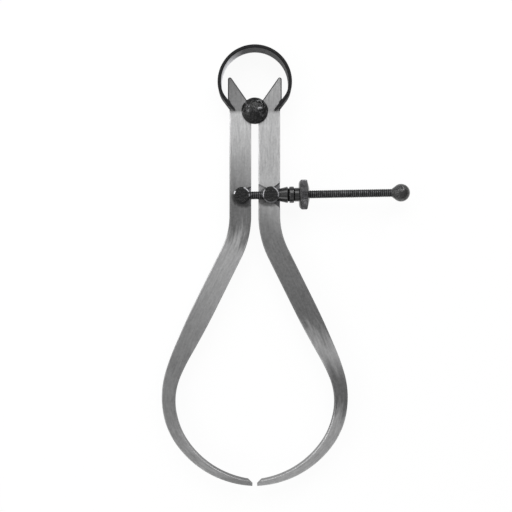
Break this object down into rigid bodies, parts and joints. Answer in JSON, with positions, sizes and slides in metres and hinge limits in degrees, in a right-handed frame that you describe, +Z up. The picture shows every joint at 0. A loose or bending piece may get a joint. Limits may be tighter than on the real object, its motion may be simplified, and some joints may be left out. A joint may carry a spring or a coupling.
{
  "type": "spring caliper",
  "caption": "Outside spring caliper: bowed flat steel legs on a turned fulcrum stud under a round bow spring, set by a ball-ended screw and a knurled nut.",
  "frame": {"origin": "measuring point: midway between the two leg tips, in the middle plane of the legs", "axes": "+Y from the tips along the axis of symmetry to the bow, +X across the opening towards the nut and the ball end, +Z up through the thickness of the legs, out of the side with the post heads. The caliper lies flat."},
  "size_m": [0.0994, 0.1761, 0.0134],
  "materials": {
    "leg_steel": "ground satin along the legs",
    "black_steel": "black oxide on hardened steel, satin"
  },
  "bodies": {
    "left_leg": {"left_leg": "leg_steel"},
    "right_leg": {"right_leg": "leg_steel"},
    "stud": {"fulcrum_stud": "black_steel"},
    "bow": {"bow_spring": "black_steel"},
    "screw": {"adjusting_screw": "black_steel", "anchor_post": "black_steel"},
    "guide": {"guide_post": "black_steel", "thrust_cone": "black_steel"},
    "nut": {"adjusting_nut": "black_steel"}
  },
  "joints": [
    {"name": "leg_opening", "type": "hinge", "parent": "left_leg", "child": "right_leg", "pos_m": [0, 0.15, 0], "axis": [0, 0, 1], "range_deg": [-0.6, 50]},
    {"name": "stud_roll", "type": "hinge", "parent": "left_leg", "child": "stud", "pos_m": [0, 0.15, 0], "axis": [0, 0, 1], "range_deg": [-0.3, 25]},
    {"name": "bow_lift", "type": "slide", "parent": "stud", "child": "bow", "axis": [0, 1, 0], "range_m": [-0.00005, 0.00394]},
    {"name": "screw_swivel", "type": "hinge", "parent": "left_leg", "child": "screw", "pos_m": [-0.00517, 0.11619, 0], "axis": [0, 0, 1], "range_deg": [-0.3, 25]},
    {"name": "guide_swivel", "type": "hinge", "parent": "right_leg", "child": "guide", "pos_m": [0.00641, 0.11641, 0], "axis": [0, 0, 1], "range_deg": [-25, 0.3]},
    {"name": "nut_spin", "type": "hinge", "parent": "guide", "child": "nut", "pos_m": [0.00641, 0.11641, 0.00144], "axis": [0.9998, 0.0183, 0], "range_deg": [-150, 12340]}
  ],
  "couplings": [
    {"joint": "stud_roll", "follows": "leg_opening", "ratio": 0.5},
    {"joint": "bow_lift", "follows": "leg_opening", "m_per_rad": 0.0045},
    {"joint": "screw_swivel", "follows": "leg_opening", "ratio": 0.5},
    {"joint": "guide_swivel", "follows": "leg_opening", "ratio": -0.5},
    {"joint": "nut_spin", "follows": "leg_opening", "ratio": 246.6}
  ]
}
